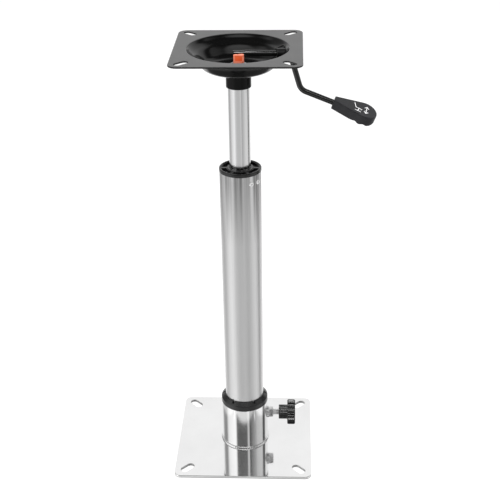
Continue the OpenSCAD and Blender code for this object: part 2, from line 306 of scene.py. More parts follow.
def plate_parts(outer, holes, low, high, bevel, extra=(), skip_wall=(), walls=1):
    """A plate between two faces, with rounded edges. skip_wall names loops left open."""
    bm = bmesh.new()
    shrunk = []
    for i, loop in enumerate([outer, *holes]):
        if i in skip_wall:
            shrunk.append(loop)
            continue
        rounded_edge(bm, loop, low, high, bevel, walls=walls)
        inset = bevel + FLAT_EDGE
        shrunk.append([p - m * inset for p, m in zip(loop, normals_of(loop))])
    flat_fill(bm, shrunk[0], shrunk[1:], high, True, extra)
    flat_fill(bm, shrunk[0], shrunk[1:], low, False, extra)
    return bm


def smooth_line(points, per=6):
    """A Catmull-Rom line through the points."""
    out = []
    n = len(points)
    for i in range(n - 1):
        p0 = points[max(i - 1, 0)]
        p1, p2 = points[i], points[i + 1]
        p3 = points[min(i + 2, n - 1)]
        for k in range(per):
            t = k / per
            out.append(0.5 * ((2 * p1) + (p2 - p0) * t + (2 * p0 - 5 * p1 + 4 * p2 - p3) * t ** 2
                              + (3 * p1 - p0 - 3 * p2 + p3) * t ** 3))
    out.append(points[-1].copy())
    return out


def bend(before, corner, after, radius, steps=10):
    """Points round a bend of that radius at corner."""
    a, b = (before - corner).normalized(), (after - corner).normalized()
    half = a.angle(b) / 2
    reach = radius / tan(half)
    middle = corner + (a + b).normalized() * radius / sin(half)
    start, end = corner + a * reach - middle, corner + b * reach - middle
    return arc(middle, start, end, steps)


def tube_faces(rings, sides):
    """Faces round a stack of rings of points, and over its two ends."""
    faces = [tuple(reversed(range(sides))), tuple((rings - 1) * sides + k for k in range(sides))]
    for i in range(rings - 1):
        for k in range(sides):
            a, b = i * sides + k, i * sides + (k + 1) % sides
            faces.append((a, b, b + sides, a + sides))
    return faces


def tube_mesh(name, path, radius, sides=32, shape=None):
    """A closed round tube along the path. shape(i) may give each ring its own two radii."""
    points = []
    n = len(path)
    for i, p in enumerate(path):
        ahead = (path[min(i + 1, n - 1)] - path[max(i - 1, 0)]).normalized()
        side = Vector((0, 1, 0)).cross(ahead).normalized()
        up = ahead.cross(side)
        wide, high = shape(i) if shape else (radius, radius)
        for k in range(sides):
            a = 2 * pi * k / sides
            points.append(p + wide * cos(a) * up + high * sin(a) * side)
    return closed_mesh(name, points, tube_faces(n, sides))


# --- materials

class Nodes:
    """Short ways to add and join shader nodes in one material."""

    def __init__(self, name):
        self.material = bpy.data.materials.new(name)
        self.material.use_nodes = True
        self.tree = self.material.node_tree
        self.shader = self.tree.nodes["Principled BSDF"]

    def add(self, kind, **values):
        node = self.tree.nodes.new(kind)
        for key, value in values.items():
            setattr(node, key, value)
        return node

    def join(self, a, b):
        self.tree.links.new(a, b)

    def set(self, node=None, **values):
        for key, value in values.items():
            (node or self.shader).inputs[key.replace("_", " ")].default_value = value

    def space(self, scale):
        """The piece's own coordinates, in metres, times a scale along each axis."""
        coords = self.add("ShaderNodeTexCoord")
        mapping = self.add("ShaderNodeMapping")
        mapping.inputs["Scale"].default_value = scale
        self.join(coords.outputs["Object"], mapping.inputs["Vector"])
        return mapping.outputs["Vector"]

    def noise(self, scale, detail=3.0, rough=0.55):
        """Noise with that many cells a metre along each axis."""
        texture = self.add("ShaderNodeTexNoise")
        self.set(texture, Scale=1.0, Detail=detail, Roughness=rough)
        self.join(self.space(scale), texture.inputs["Vector"])
        return texture.outputs["Fac"]

    def height(self):
        """The piece's own height, in metres."""
        split = self.add("ShaderNodeSeparateXYZ")
        self.join(self.space((1, 1, 1)), split.inputs[0])
        return split.outputs["Z"]

    def spread(self, value, low, high, start=0.3, end=0.7):
        """Maps a value from start to end onto the range from low to high."""
        node = self.add("ShaderNodeMapRange")
        self.set(node, From_Min=start, From_Max=end, To_Min=low, To_Max=high)
        self.join(value, node.inputs["Value"])
        return node.outputs["Result"]

    def mix(self, share, low, high):
        """A number between low and high. high is a value from other nodes or a plain number."""
        node = self.add("ShaderNodeMix")
        self.join(share, node.inputs["Factor"])
        for value, socket in ((low, node.inputs["A"]), (high, node.inputs["B"])):
            if isinstance(value, float):
                socket.default_value = value
            else:
                self.join(value, socket)
        return node.outputs["Result"]

    def grey(self, level):
        """Colours the surface by one number that varies over it."""
        shade = self.add("ShaderNodeCombineColor")
        for channel in ("Red", "Green", "Blue"):
            self.join(level, shade.inputs[channel])
        self.join(shade.outputs["Color"], self.shader.inputs["Base Color"])

    def tint(self, value, dark, light):
        """Colours the surface from dark to light. Each is a grey level or a colour."""
        ramp = self.add("ShaderNodeValToRGB")
        for element, place, shade in zip(ramp.color_ramp.elements, (0.3, 0.7), (dark, light)):
            element.position = place
            element.color = (*shade, 1) if isinstance(shade, tuple) else (shade, shade, shade, 1)
        self.join(value, ramp.inputs["Fac"])
        self.join(ramp.outputs["Color"], self.shader.inputs["Base Color"])

    def bump(self, value, depth):
        node = self.add("ShaderNodeBump")
        node.inputs["Distance"].default_value = depth
        self.join(value, node.inputs["Height"])
        self.join(node.outputs["Normal"], self.shader.inputs["Normal"])

    def rough(self, value):
        self.join(value, self.shader.inputs["Roughness"])

    def finish(self, cloud, dark, light, wear, rough_low, rough_high, marks, depth):
        """Colour by cloud, roughness by wear, and fine relief by marks."""
        self.tint(cloud, dark, light)
        self.rough(self.spread(wear, rough_low, rough_high))
        self.bump(marks, depth)
        return self.material


FINE_DRAWN = (900, 900, 3)       # cells a metre of marks that run along Z
BROAD_DRAWN = (60, 60, 1.2)


def drawn_metal(name, dark, light, rough_low, rough_high, streak=FINE_DRAWN, depth=2e-6,
                smear=0.0):
    """Tube metal with fine marks that run along its length. smear spreads its reflections up
    and down, as polishing round the tube does."""
    m = Nodes(name)
    m.set(Metallic=1.0)
    if smear:
        m.set(Anisotropic=smear, Anisotropic_Rotation=0.25)
        around = m.add("ShaderNodeTangent", direction_type="RADIAL", axis="Z")
        m.join(around.outputs["Tangent"], m.shader.inputs["Tangent"])
    fine, broad = m.noise(streak, detail=4), m.noise(BROAD_DRAWN, detail=2)
    return m.finish(broad, dark, light, fine, rough_low, rough_high, fine, depth)


def satin_tube(name, top):
    """Satin tube, with darker drawing streaks that fade out down from its top end."""
    m = Nodes(name)
    m.set(Metallic=1.0)
    fine, broad = m.noise(FINE_DRAWN, detail=4), m.noise(BROAD_DRAWN, detail=2)
    streak = m.spread(m.noise((150, 150, 1.5), detail=3), 0.0, 1.0, 0.40, 0.60)
    near_top = m.spread(m.height(), 0.0, 1.0, top - 110 * MM, top - 10 * MM)
    share = m.add("ShaderNodeMath", operation="MULTIPLY")
    m.join(streak, share.inputs[0])
    m.join(near_top, share.inputs[1])
    m.grey(m.mix(share.outputs[0], m.spread(broad, 0.72, 0.80), 0.27))
    m.rough(m.spread(fine, 0.30, 0.40))
    m.bump(fine, 4e-6)
    return m.material


def polished_metal(name, dark, light, rough_low, rough_high, grain=(40, 900, 40)):
    """Sheet metal with a light one-way polish and faint handling marks."""
    m = Nodes(name)
    m.set(Metallic=1.0)
    polish, cloud = m.noise(grain, detail=5), m.noise((14, 14, 14))
    return m.finish(cloud, dark, light, polish, rough_low, rough_high, polish, 1e-6)


def zinc_metal(name, metallic=1.0):
    """Zinc plating on steel, with its fine crystals."""
    m = Nodes(name)
    m.set(Metallic=metallic)
    grain, cloud = m.noise((600, 600, 600), detail=4), m.noise((120, 120, 120))
    return m.finish(cloud, 0.50, 0.80, grain, 0.20, 0.36, grain, 6e-6)


def moulded_plastic(name, dark, light, rough_low, rough_high, grain=2200, depth=2.5e-5,
                    gloss=0.5, metallic=0.0):
    """Moulded plastic with a fine sparked texture."""
    m = Nodes(name)
    m.set(IOR=1.49, Specular_IOR_Level=gloss, Metallic=metallic)
    spark, cloud = m.noise((grain, grain, grain), detail=2, rough=0.6), m.noise((55, 55, 55))
    return m.finish(cloud, dark, light, cloud, rough_low, rough_high, spark, depth)


def coated_steel(name, dark, light, rough_low, rough_high, depth, gloss=0.5):
    """Powder coat or paint on steel, with a slight orange peel."""
    m = Nodes(name)
    m.set(IOR=1.5, Specular_IOR_Level=gloss)
    skin, cloud = m.noise((260, 260, 260), detail=2, rough=0.4), m.noise((24, 24, 24))
    return m.finish(cloud, dark, light, cloud, rough_low, rough_high, skin, depth)


def seat_coat_painted_light(name, top):
    """Satin powder coat, glossier in the dish than on the flange's flat top. It is one black coat,
    painted dark grey on the flat top and near black in the dish and down the flange's edges:
    painted light and shade.
    """
    m = Nodes(name)
    m.set(IOR=1.5, Specular_IOR_Level=0.30)
    # flat is 1 on the flange's flat top and 0 below it. It sets the roughness, and also the painted
    # light and shade in the colour.
    flat = m.spread(m.height(), 0.0, 1.0, top - 0.75 * MM, top - 0.1 * MM)
    cloud = m.noise((24, 24, 24))
    # Painted shade: near black in the dish and on the edges below the flat top, dark grey on the
    # top.
    m.grey(m.mix(flat, 0.0045, m.spread(cloud, 0.068, 0.090)))
    m.rough(m.mix(flat, 0.14, m.spread(cloud, 0.34, 0.44)))
    m.bump(m.noise((1500, 1500, 1500), detail=2), 6e-6)
    return m.material


def make_materials():
    """Each row gives dark and light tones, then low and high roughness."""
    seat_top, column_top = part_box("seat_plate")[1].z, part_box("column_tube")[1].z
    smooth, fine = 4e-6, 1e-5
    return {
        "floor": polished_metal("polished_floor_plate", 0.86, 0.91, 0.05, 0.09),
        "socket": drawn_metal("polished_socket", 0.87, 0.93, 0.11, 0.14, streak=(40, 40, 500),
                              depth=5e-7, smear=0.85),
        "weld": polished_metal("weld_bead", 0.80, 0.93, 0.18, 0.34, grain=(260, 260, 260)),
        "column": satin_tube("satin_column", column_top),
        "post": drawn_metal("bright_post", (0.76, 0.76, 0.77), 0.86, 0.14, 0.24),
        "zinc": zinc_metal("zinc_plate"),
        "bright_zinc": zinc_metal("bright_zinc_plate", 0.6),
        "rivet": moulded_plastic("bright_rivet", 0.84, 0.95, 0.25, 0.35, depth=smooth,
                                 metallic=0.4),
        # Slot walls: a sheared edge that is rougher than the plate. It is also painted darker, as
        # painted shade inside the slots.
        "sheared_and_shaded": polished_metal("sheared_edge_and_painted_shade", 0.34, 0.50, 0.34, 0.50, grain=(500, 500, 60)),
        "bushing": moulded_plastic("black_bushing", 0.005, (0.011, 0.011, 0.012), 0.22, 0.34,
                                   gloss=0.55),
        "knob": moulded_plastic("knob_plastic", 0.004, 0.008, 0.16, 0.24, depth=fine, gloss=0.6),
        "paddle": moulded_plastic("paddle_plastic", (0.016, 0.016, 0.018), (0.028, 0.028, 0.031),
                                  0.42, 0.56, depth=5e-5, gloss=0.3),
        "mark": moulded_plastic("printed_white", 0.80, 0.92, 0.45, 0.60, depth=fine),
        "seat": seat_coat_painted_light("seat_plate_coat_painted_light", seat_top),
        "rim": coated_steel("gloss_black_rim", 0.004, 0.008, 0.26, 0.34, smooth),
        "hub": coated_steel("gloss_black_paint", 0.003, 0.006, 0.10, 0.18, 5e-6, gloss=0.12),
        "rod": coated_steel("gloss_black_rod", 0.003, 0.006, 0.12, 0.20, smooth, gloss=0.7),
        "orange": moulded_plastic("orange_plastic", (0.80, 0.10, 0.025), (0.93, 0.15, 0.045),
                                  0.36, 0.50, depth=1.5e-5),
        # The clip's frame: the same orange plastic, painted lighter and pinker as a painted sheen
        # on its faces.
        "orange_frame_painted_sheen": moulded_plastic("orange_plastic_frame_painted_sheen", (0.80, 0.21, 0.12),
                                        (0.92, 0.28, 0.17), 0.36, 0.50, depth=1.5e-5),
        "rubber": moulded_plastic("black_rubber", 0.008, 0.02, 0.45, 0.65, grain=900),
        "brass": polished_metal("brass", (0.66, 0.45, 0.18), (0.85, 0.62, 0.30), 0.20, 0.34),
        "chrome": polished_metal("ground_steel", (0.62, 0.63, 0.65), (0.78, 0.79, 0.81),
                                 0.06, 0.14, grain=(300, 300, 900)),
    }


MAT = make_materials()


# --- floor base

SOCKET_BORE = 33.5 * MM


def corner_slots(side, length, width):
    """Four slots, each on a corner of a square of that side and pointing to its middle."""
    reach = side / 2 * sqrt(2)
    return [slot_outline(reach, radians(45 + 90 * i), length, width) for i in range(4)]


def floor_plate():
    lo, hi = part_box("base_plate")
    half, top = hi.x, hi.z
    outer = rounded_square(half, 10 * MM)
    holes = corner_slots(174 * MM, 24 * MM, 12 * MM)
    bm = plate_parts(outer, holes, lambda x, y: lo.z, lambda x, y: top, 0.7 * MM)
    piece = link("floor_plate", from_bmesh("floor_plate", bm), "floor", "base",
                 ["base_plate"])
    # The slots' inner walls take the darker metal: painted shade inside the slots, on top of their
    # rougher sheared finish.
    piece.data.materials.append(MAT["sheared_and_shaded"])
    for face in piece.data.polygons:
        if abs(face.normal.z) < 0.5 and max(abs(face.center.x), abs(face.center.y)) < half - 3 * MM:
            face.material_index = 1


def socket_tube():
    lo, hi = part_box("base_socket")
    outline = filleted([(hi.x, lo.z, 0), (hi.x, hi.z, 0.6),
                        (SOCKET_BORE, hi.z, 0.4), (SOCKET_BORE, lo.z, 0)])
    turned("socket_tube", outline, "socket", "base", ["base_socket"])


def foot_weld():
    """The weld bead round the socket's foot, slightly uneven as it runs."""
    lo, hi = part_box("foot_ring")
    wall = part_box("base_socket")[1].x
    reach, height = hi.x - wall, hi.z - lo.z
    outline = [Vector((wall - 0.3 * MM, lo.z))]
    steps = 8
    for k in range(steps + 1):
        a = pi / 2 * k / steps
        outline.append(Vector((wall + reach * cos(a) ** 0.8, lo.z + height * sin(a))))
    outline.append(Vector((wall - 0.3 * MM, hi.z)))

    def ripple(angle, r, z):
        wave = 0.06 * MM * sin(angle * 74) + 0.05 * MM * sin(angle * 5 + 1)
        share = max(0.0, (r - wall) / reach)
        return r - share * (0.11 * MM + wave), z

    turned("foot_weld", outline, "weld", "base", ["foot_ring"], sides=444,
           wobble=ripple)


def socket_bushing():
    """The sleeve in the socket: its lip has six notches, with a small tab beside each."""
    lo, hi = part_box("socket_bushing")
    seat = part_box("base_socket")[1].z
    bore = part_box("column_tube")[1].x + 0.05 * MM
    rim = hi.x
    outline = filleted([
        (bore, lo.z, 0), (SOCKET_BORE, lo.z, 0), (SOCKET_BORE, seat, 0), (rim, seat, 0.4),
        (rim, seat + 8.0 * MM, 1.6), (bore + 2.2 * MM, hi.z - 0.8 * MM, 0.8),
        (bore + 1.4 * MM, hi.z, 0.4), (bore, hi.z, 0.3)])
    mesh = lathe_mesh("socket_bushing_ring", outline)
    cutters, tabs, notches = [], [], 6
    for i in range(notches):
        notch = box_mesh("notch", (bore - 1 * MM, -1.7 * MM, hi.z - 3.2 * MM),
                         (bore + 5 * MM, 1.7 * MM, hi.z + 1 * MM))
        tab = box_mesh("tab", (bore + 0.15 * MM, -2.9 * MM, hi.z - 2.5 * MM),
                       (bore + 1.5 * MM, -1.8 * MM, hi.z + 1.5 * MM), 0.2 * MM, 2)
        for mesh_part in (notch, tab):
            mesh_part.transform(Matrix.Rotation(2 * pi * i / notches, 4, "Z"))
        cutters.append(notch)
        tabs.append(tab)
    link("socket_bushing_ring", cut(mesh, *cutters), "bushing", "base", ["socket_bushing"])
    link("socket_bushing_tabs", join_meshes("socket_bushing_tabs", tabs), "bushing", "base")


# --- clamp screw

def on_screw(mesh):
    """Turns a mesh made round Z onto the clamp screw's axis, along +X."""
    lo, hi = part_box("clamp_screw")
    mesh.transform(along((0, 0, (lo.z + hi.z) / 2), (1, 0, 0)))
    return mesh


def clamp_boss():
    """The pad on the socket's side that carries the screw's thread."""
    lo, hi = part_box("clamp_boss")
    radius, bore = (hi.y - lo.y) / 2, 4.9 * MM
    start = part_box("base_socket")[1].x - 2.5 * MM
    outline = filleted([(bore, start, 0), (radius, start, 0), (radius, hi.x, 1.1),
                        (bore, hi.x, 0)])
    mesh = on_screw(lathe_mesh("clamp_boss_pad", outline, 96))
    link("clamp_boss_pad", mesh, "bright_zinc", "base", ["clamp_boss"])


def thread_mesh(name, low, high, radius, pitch, depth, sides=40, per_turn=10):
    """A round bar along Z with a real single-start thread from low to high."""
    rings = int((high - low) / pitch * per_turn)
    points = []
    for i in range(rings + 1):
        z = low + (high - low) * i / rings
        fade = min(1.0, min(i, rings - i) / per_turn)
        for k in range(sides):
            phase = (z / pitch - k / sides) % 1.0
            ridge = min(1.0, 1.25 * (1 - abs(2 * phase - 1)))
            r = radius - depth * (1 - ridge) * fade - depth * (1 - fade)
            points.append((*polar(r, 2 * pi * k / sides), z))
    return mesh_from(name, points, tube_faces(rings + 1, sides))


def clamp_screw():
    """The screw, with its 16 turns an inch."""
    lo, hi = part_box("clamp_screw")
    radius, pitch = (hi.z - lo.z) / 2, 25.4 * MM / 16
    mesh = on_screw(thread_mesh("clamp_screw_thread", lo.x, hi.x, radius, pitch, 0.85 * MM))
    piece = link("clamp_screw_thread", mesh, "bright_zinc", "clamp_knob", ["clamp_screw"],
                 sharp=60)
    piece.visible_glossy = False


def clamp_knob():
    """A fluted hub and a lobed head, both moulded."""
    lo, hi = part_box("clamp_knob")
    head_r = (hi.z - lo.z) / 2
    hub_r, head_x = 11.35 * MM, hi.x - 12.6 * MM
    flutes, lobes = 28, 14

    def shape(angle, r, z):
        if z < head_x - 0.01 * MM:
            share = min(1.0, r / hub_r)
            return r - share ** 6 * 0.6 * MM * (0.5 - 0.5 * cos(flutes * angle)) ** 2, z
        share = max(0.0, (r - 12 * MM) / (head_r - 12 * MM))
        groove = (0.5 + 0.5 * cos(lobes * angle)) ** 1.4
        return r - share * 3.4 * MM * groove, z

    outline = filleted([
        (4.7 * MM, lo.x, 0), (hub_r, lo.x, 0.8), (hub_r, head_x, 0),
        (head_r - 1.2 * MM, head_x, 0.6), (head_r, head_x + 1.2 * MM, 0.8),
        (head_r, hi.x - 1.4 * MM, 0.8), (head_r - 1.6 * MM, hi.x, 1.0),
        (9 * MM, hi.x, 0.6), (8.4 * MM, hi.x - 0.9 * MM, 0.5),
        (2 * MM, hi.x - 0.9 * MM, 0), (2 * MM, hi.x - 3 * MM, 0), (4.7 * MM, hi.x - 3 * MM, 0)])
    mesh = on_screw(lathe_mesh("clamp_knob_grip", outline, 336, shape))
    piece = link("clamp_knob_grip", mesh, "knob", "clamp_knob", ["clamp_knob"])
    piece.visible_glossy = False


# --- column

COLUMN_WALL = 2.5 * MM


def pipe(lo, hi, bore, edge):
    """The outline of a pipe that fills the box from lo to hi. edge rounds its rims, in mm."""
    return filleted([(hi.x, lo.z, edge), (hi.x, hi.z, edge), (bore, hi.z, 0.3),
                     (bore, lo.z, 0.3)])


def column():
    lo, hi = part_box("column_tube")
    turned("column_shell", pipe(lo, hi, hi.x - COLUMN_WALL, 0.5), "column", "column",
           ["column_tube"])


def top_bushing():
    """The moulded cap, with kidney-shaped pockets between its ribs."""
    lo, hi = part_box("top_bushing")
    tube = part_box("column_tube")[1]
    tube_top, inner = tube.z, tube.x - COLUMN_WALL
    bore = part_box("inner_post")[1].x + 0.05 * MM
    outline = filleted([
        (bore, lo.z, 0), (inner, lo.z, 0), (inner, tube_top, 0), (hi.x, tube_top, 0.3),
        (hi.x, hi.z, 1.2), (28.2 * MM, hi.z, 0.6), (27.4 * MM, hi.z - 1.4 * MM, 0.5),
        (19.2 * MM, hi.z - 1.4 * MM, 0.5), (18.6 * MM, hi.z - 0.3 * MM, 0.4),
        (bore + 0.5 * MM, hi.z - 0.3 * MM, 0.3), (bore, hi.z - 0.9 * MM, 0.3)])
    mesh = lathe_mesh("top_bushing_cap", outline)
    cutters = []
    pockets, rib, steps = 6, 4 * MM, 10
    outer_r, inner_r = 27 * MM, 19.6 * MM
    span = pi / pockets
    loop = []
    for r, sign in ((outer_r, 1), (inner_r, -1)):
        gap = asin(rib / 2 / r)
        for k in range(steps + 1):
            a = sign * (-span + gap + 2 * (span - gap) * k / steps)
            loop.append(polar(r, a))
    for i in range(pockets):
        pocket = prism("pocket", [(*p, hi.z + 1 * MM) for p in loop],
                       [(*p, hi.z - 4.5 * MM) for p in loop])
        pocket.transform(Matrix.Rotation(radians(30 + 60 * i), 4, "Z"))
        cutters.append(pocket)
    link("top_bushing_cap", cut(mesh, *cutters), "bushing", "column", ["top_bushing"])


def rivets():
    """Hollow rivets in the column's wall: two on the side that is seen, two opposite."""
    lo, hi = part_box("bushing_rivets")
    z = (lo.z + hi.z) / 2
    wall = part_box("column_tube")[1].x
    heads = []
    for degrees in (34, 58, 214, 238):
        out = Vector((*polar(1, radians(degrees - 90)), 0))
        outline = [Vector(p) * MM for p in ((2.1, -3.0), (2.1, -0.3), (3.5, -0.3), (3.5, 0.15),
                                            (3.3, 0.7), (2.7, 1.1), (2.1, 1.15), (1.65, 1.0),
                                            (1.5, 0.6), (1.45, -1.6))]
        mesh = lathe_mesh("rivet", outline, 40, ring=False)
        mesh.transform(along(out * wall + Vector((0, 0, z)), out))
        heads.append(mesh)
    link("bushing_rivet_heads", join_meshes("bushing_rivet_heads", heads), "rivet", "column",
         ["bushing_rivets"], sharp=50)


# --- where the release lever runs

LEVER_R = 4 * MM
WALL = Vector(JOINTS["release_lever"]["pos_m"])
OVER_PIN = Vector((0, 0, 0.646))
ROD_DIR = (WALL - OVER_PIN).normalized()
BEND_OUT = OVER_PIN + 0.0725 * ROD_DIR
BEND_LOW = Vector((0.0862, 0.008, 0.5908))
PADDLE_START = Vector((0.1315, 0.0028, 0.574))
PADDLE_SLOPE = radians(20.3)
PADDLE_HEADING = radians(-6.6)
PADDLE_ROLL = radians(12)
PADDLE_TURN = (Matrix.Rotation(PADDLE_HEADING, 4, "Z") @ Matrix.Rotation(PADDLE_SLOPE, 4, "Y")
               @ Matrix.Rotation(PADDLE_ROLL, 4, "X"))
PADDLE_PLACE = Matrix.Translation(PADDLE_START) @ PADDLE_TURN


# --- post and seat plate

def post():
    lo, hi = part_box("inner_post")
    turned("rising_post", pipe(lo, hi, 14 * MM, 0.4), "post", "seat_mount", ["inner_post"])


def hub():
    lo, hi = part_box("hub_collar")
    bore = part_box("inner_post")[1].x
    outline = filleted([
        (bore, lo.z, 0), (bore + 0.4 * MM, lo.z, 0), (hi.x, lo.z, 1.9), (hi.x, hi.z, 0.5),
        (bore, hi.z, 0.4)], steps=8)
    turned("seat_hub", outline, "hub", "seat_mount", ["hub_collar"])
    lo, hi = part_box("neck_ring")
    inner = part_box("hub_collar")[1].x - 0.2 * MM
    outline = filleted([
        (inner, lo.z, 0), (inner + 0.3 * MM, lo.z, 0), (hi.x, lo.z + 1.9 * MM, 0.8),
        (hi.x, hi.z, 0.4), (inner, hi.z, 0)])
    turned("seat_hub_neck", outline, "hub", "seat_mount", ["neck_ring"])


SHEET, DISH_R = 2.4 * MM, 73 * MM


def seat_plate():
    """One stamped sheet: a flat flange with four slots, a rounded rim and a deep dish."""
    lo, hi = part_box("seat_plate")
    top = hi.z
    under = top - SHEET
    hub_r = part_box("hub_collar")[1].x

    def around(r, z):
        return [Vector((*polar(r, 2 * pi * k / SIDES), z)) for k in range(SIDES)]

    outer = rounded_square(hi.x, 13 * MM)
    slots = corner_slots(143 * MM, 22 * MM, 10 * MM)
    ring = [p.xy for p in reversed(around(DISH_R, top))]
    bm = plate_parts(outer, [*slots, ring], lambda x, y: under, lambda x, y: top, 0.9 * MM,
                     skip_wall=(5,))
    dish_edge, hub_edge = (DISH_R / MM, 0), (hub_r / MM, 29.9)
    inner_line = smooth_line([Vector((r * MM, top - d * MM)) for r, d in (
        dish_edge, (71.7, 0.15), (70.5, 0.9), (69.0, 2.6), (66.7, 5.3), (63.2, 8.3),
        (58.7, 11.1), (55.5, 14.6), (52, 19.5), (49, 23.5), (45, 26.4), (40, 28.0), (33, 28.9),
        (26, 29.4), hub_edge)])
    outer_line = smooth_line([Vector((r * MM, under - d * MM)) for r, d in (
        dish_edge, (72.3, 0.2), (71.2, 1.0), (70.0, 2.6), (68.0, 5.0), (64.6, 7.8),
        (60.8, 10.7), (57.2, 13.9), (53.9, 18.5), (50.8, 22.7), (46.4, 25.9), (40.7, 27.9),
        (33.2, 28.9), (26, 29.4), hub_edge)])
    ends = []
    for line, flip in ((inner_line, False), (outer_line, True)):
        rows = [[bm.verts.new(q) for q in around(p.x, p.y)] for p in line]
        for a, b in zip(rows, rows[1:]):
            for k in range(SIDES):
                j = (k + 1) % SIDES
                bm.faces.new((a[k], a[j], b[j], b[k]) if flip else (a[k], b[k], b[j], a[j]))
        ends.append(rows[-1])
    high, low = ends
    for k in range(SIDES):
        j = (k + 1) % SIDES
        bm.faces.new((high[k], high[j], low[j], low[k]))
    bmesh.ops.remove_doubles(bm, verts=bm.verts, dist=2e-6)
    sheet = cut(from_bmesh("seat_plate_sheet", bm), lever_port())
    sheet.name = "seat_plate_sheet"
    link("seat_plate_sheet", sheet, "seat", "seat_mount", ["seat_plate"])
    port_rim(inner_line)


PORT_R, PORT_SHIFT = 7 * MM, 12 * MM
PORT_START, PORT_END = 44 * MM, 76 * MM


def port_outline(grow=0.0, steps=14):
    """Points round the oval lever port, in the plane across the rod."""
    out = []
    for middle, first in ((PORT_SHIFT, 0), (0.0, pi)):
        for k in range(steps + 1):
            a = first + pi * k / steps
            out.append(((PORT_R + grow) * cos(a), middle + (PORT_R + grow) * sin(a)))
    return out


def rod_frame():
    """The directions to the rear of the rod and up from it, both square to it."""
    rear = Vector((-ROD_DIR.y, ROD_DIR.x, 0)).normalized()
    return rear, ROD_DIR.cross(rear)


def lever_port():
    """The cutter that opens the dish wall for the lever."""
    rear, up = rod_frame()
    near, far = ([OVER_PIN + ROD_DIR * reach + up * u + rear * v for u, v in port_outline()]
                 for reach in (PORT_START, PORT_END))
    return prism("port", near, far)


def port_rim(dish):
    """A raised bead and a rubber boot round the port, both shaped to the dish wall."""
    rear, up = rod_frame()

    def dish_radius(z):
        for a, b in zip(dish, dish[1:]):
            if b.y <= z <= a.y:
                return b.x + (a.x - b.x) * (z - b.y) / (a.y - b.y)
        return dish[0].x

    def on_wall(u, v, deeper=0.0):
        """Where a line along the rod, u above it and v to its rear, meets the dish."""
        start = OVER_PIN + up * u + rear * v
        near, far = 30 * MM, 80 * MM
        for _ in range(30):
            middle = (near + far) / 2
            p = start + ROD_DIR * middle
            if hypot(p.x, p.y) < dish_radius(p.z):
                near = middle
            else:
                far = middle
        return start + ROD_DIR * (near + deeper)

    reach, turns = PORT_R + 0.5 * MM, 24
    angles = [radians(-15 + 150 * k / turns) for k in range(turns + 1)]
    bead = [on_wall(reach * sin(a), PORT_SHIFT + reach * cos(a)) for a in angles]
    link("lever_port_rim", tube_mesh("lever_port_rim", bead, 1.0 * MM, 16), "rim",
         "seat_mount")

    # The boot's section, from the rod's hole to past the port's edge and back, as share of the
    # way out and depth in mm. It goes round the port as one closed ring.
    bm = bmesh.new()
    section = [(0.0, 0.5), (0.5, 0.5), (1.0, 0.5), (1.0, 1.9), (0.5, 1.9), (0.0, 1.9)]
    rows = []
    for u, v in port_outline(0.4 * MM):
        hole = 5.6 * MM / hypot(u, v)
        row = []
        for share, deeper in section:
            out = hole + (1 - hole) * share
            row.append(bm.verts.new(on_wall(u * out, v * out, deeper * MM)))
        rows.append(row)
    for a, b in zip(rows, rows[1:] + rows[:1]):
        for k in range(len(section)):
            m = (k + 1) % len(section)
            bm.faces.new((a[k], a[m], b[m], b[k]))
    link("lever_port_boot", from_bmesh("lever_port_boot", bm), "rubber", "seat_mount")


def release_clip():
    """The orange clip on the gas spring's neck: two cheeks beside the lever's tip."""
    lo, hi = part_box("release_clip")
    lo.x += 1.9 * MM             # narrower on its left than the CAD solid
    heading = Vector(JOINTS["release_lever"]["pos_m"])
    turn = Matrix.Rotation(atan2(heading.y, heading.x), 4, "Z")

    def round_hole(radius, top):
        return lathe_mesh("hole", [(radius, lo.z - 1 * MM), (radius, top)], 48, ring=False)

    def front(name, start, depth, bevel=0.0):
        """A box on the middle of the front face."""
        return box_mesh(name, (lo.x + 2.2 * MM, lo.y + start, lo.z + 6.0 * MM),
                        (hi.x - 2.2 * MM, lo.y + depth, hi.z - 1.6 * MM), bevel)

    slot = box_mesh("slot", (-20 * MM, -4.8 * MM, lo.z + 6.2 * MM),
                    (20 * MM, 4.8 * MM, hi.z + 5 * MM))
    slot.transform(turn)
    bore, neck = round_hole(4.3 * MM, hi.z + 1 * MM), round_hole(7 * MM, lo.z + 3.8 * MM)
    recess = front("recess", -1 * MM, 0.8 * MM)
    notch = box_mesh("notch", (hi.x - 2.5 * MM, lo.y - 1 * MM, lo.z - 1 * MM),
                     (hi.x - 1.1 * MM, lo.y + 2.5 * MM, lo.z + 4.8 * MM))
    mesh = cut(box_mesh("clip", lo, hi, 0.6 * MM), slot, bore, neck, recess, notch)
    # The frame round the panel is painted lighter and pinker than the panel: painted sheen.
    link("release_clip_body", mesh, "orange_frame_painted_sheen", "seat_mount", ["release_clip"])
    inset = front("release_clip_panel", 0.35 * MM, 1.2 * MM, 0.2 * MM)
    link("release_clip_panel", inset, "orange", "seat_mount")


# --- release lever

